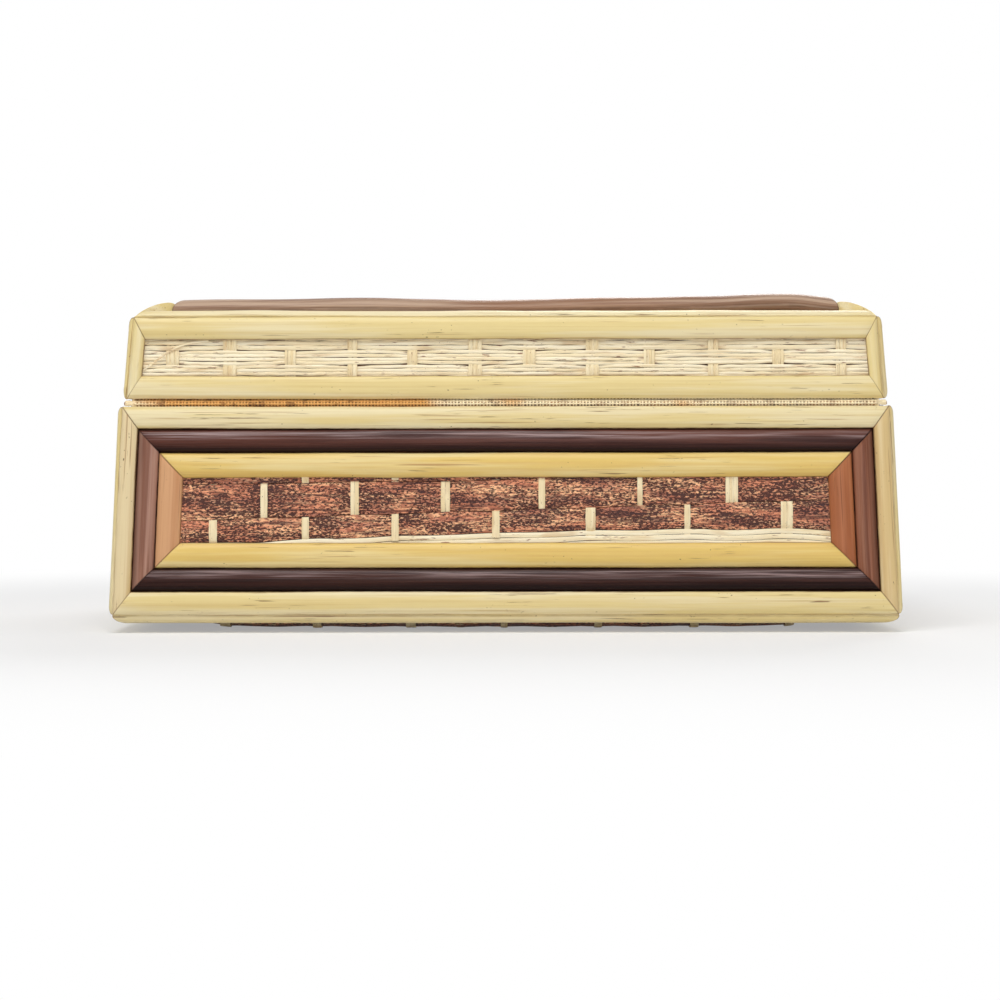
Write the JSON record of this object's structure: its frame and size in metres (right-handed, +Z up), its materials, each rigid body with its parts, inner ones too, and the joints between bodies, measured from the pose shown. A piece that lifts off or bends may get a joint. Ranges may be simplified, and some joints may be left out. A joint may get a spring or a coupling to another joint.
{
  "type": "rattan trinket chest",
  "caption": "Low rectangular chest of thin boards dressed with woven splint panels and mitred half round cane, with a lid on a cloth tape hinge.",
  "frame": {"origin": "middle of the footprint, on the surface that the chest stands on", "axes": "+X along the long side, to the right as seen from the hinge side; +Y from the hinge side to the front; +Z up"},
  "size_m": [0.2398, 0.1598, 0.1012],
  "materials": {
    "board": "matte",
    "pale_cane": "satin",
    "gold_cane": "satin",
    "tan_cane": "satin",
    "dark_cane": "gloss",
    "bark_splint": "matte",
    "pale_weaver": "matte",
    "cream_splint": "matte",
    "cloth_tape": "matte"
  },
  "bodies": {
    "base": {"base_back_board": "board", "base_front_board": "board", "base_left_board": "board", "base_right_board": "board", "base_floor_board": "board", "base_back_weaver_sheet": "pale_weaver", "base_back_dark_panel": "bark_splint", "base_back_pale_rail_low": "pale_cane", "base_back_pale_rail_right": "pale_cane", "base_back_pale_rail_high": "pale_cane", "base_back_pale_rail_left": "pale_cane", "base_back_dark_rail_low": "dark_cane", "base_back_dark_rail_right": "dark_cane", "base_back_dark_rail_high": "dark_cane", "base_back_dark_rail_left": "dark_cane", "base_back_inner_rail_low": "gold_cane", "base_back_inner_rail_right": "tan_cane", "base_back_inner_rail_high": "gold_cane", "base_back_inner_rail_left": "tan_cane", "base_front_weaver_sheet": "pale_weaver", "base_front_dark_panel": "bark_splint", "base_front_pale_ring": "pale_cane", "base_front_dark_ring": "dark_cane", "base_front_inner_ring": "gold_cane", "base_left_weaver_sheet": "pale_weaver", "base_left_dark_panel": "bark_splint", "base_left_pale_ring": "pale_cane", "base_left_dark_ring": "dark_cane", "base_left_inner_ring": "gold_cane", "base_right_weaver_sheet": "pale_weaver", "base_right_dark_panel": "bark_splint", "base_right_pale_ring": "pale_cane", "base_right_dark_ring": "dark_cane", "base_right_inner_ring": "gold_cane", "underside_pale_ring": "pale_cane", "underside_dark_panel": "bark_splint", "cloth_hinge_tape": "cloth_tape"},
    "lid": {"lid_back_board": "board", "lid_front_board": "board", "lid_left_board": "board", "lid_right_board": "board", "lid_top_board": "board", "lid_back_woven_panel": "cream_splint", "lid_back_rail_low": "pale_cane", "lid_back_rail_right": "pale_cane", "lid_back_rail_high": "pale_cane", "lid_back_rail_left": "pale_cane", "lid_front_woven_panel": "cream_splint", "lid_front_ring": "pale_cane", "lid_left_woven_panel": "cream_splint", "lid_left_ring": "pale_cane", "lid_right_woven_panel": "cream_splint", "lid_right_ring": "pale_cane", "lid_top_pale_ring": "pale_cane", "lid_top_sheet": "pale_weaver", "lid_top_dark_ring": "dark_cane", "lid_top_inner_ring": "gold_cane", "lid_top_dark_panel": "bark_splint"}
  },
  "joints": [
    {"name": "lid_hinge", "type": "hinge", "parent": "base", "child": "lid", "pos_m": [0, -0.0746, 0.0692], "axis": [1, 0, 0], "range_deg": [0, 105], "deforming": ["cloth_hinge_tape"]}
  ]
}
